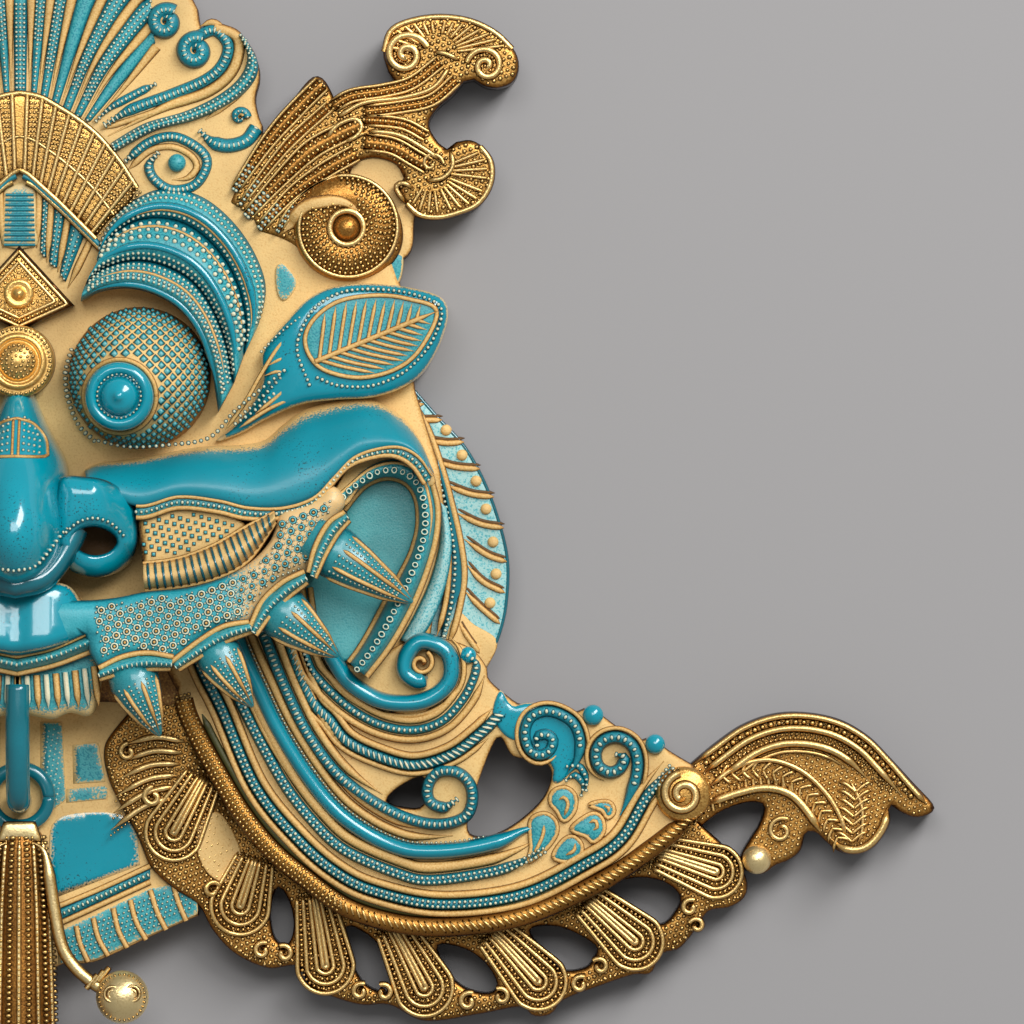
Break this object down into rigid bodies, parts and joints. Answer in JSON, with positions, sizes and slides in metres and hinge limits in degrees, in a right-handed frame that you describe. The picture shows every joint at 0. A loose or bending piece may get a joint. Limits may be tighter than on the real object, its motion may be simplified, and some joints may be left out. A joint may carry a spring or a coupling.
{
  "type": "kirtimukha wall mask",
  "caption": "Painted cast guardian-face wall mask in turquoise, sand and antique gold, with horns, fangs, whisker plumes, a pierced frill and a loose tassel pendant.",
  "frame": {"origin": "middle of the flat back, on the axis of symmetry, halfway between the crown's top and the pendant's end", "axes": "+Z out of the flat back towards the viewer, +Y towards the crown, +X to the viewer's right"},
  "size_m": [0.3662, 0.2398, 0.048],
  "materials": {
    "turquoise_paint": "glossy turquoise enamel with worn pale crests, dark hollows and sand-coloured ground",
    "sand_paint": "matt sand paint with brown dirt in the recesses",
    "antique_gold": "rubbed antique gold with dark brown hollows"
  },
  "bodies": {
    "root": {"mask": "turquoise_paint", "pendant": "antique_gold"}
  },
  "joints": []
}
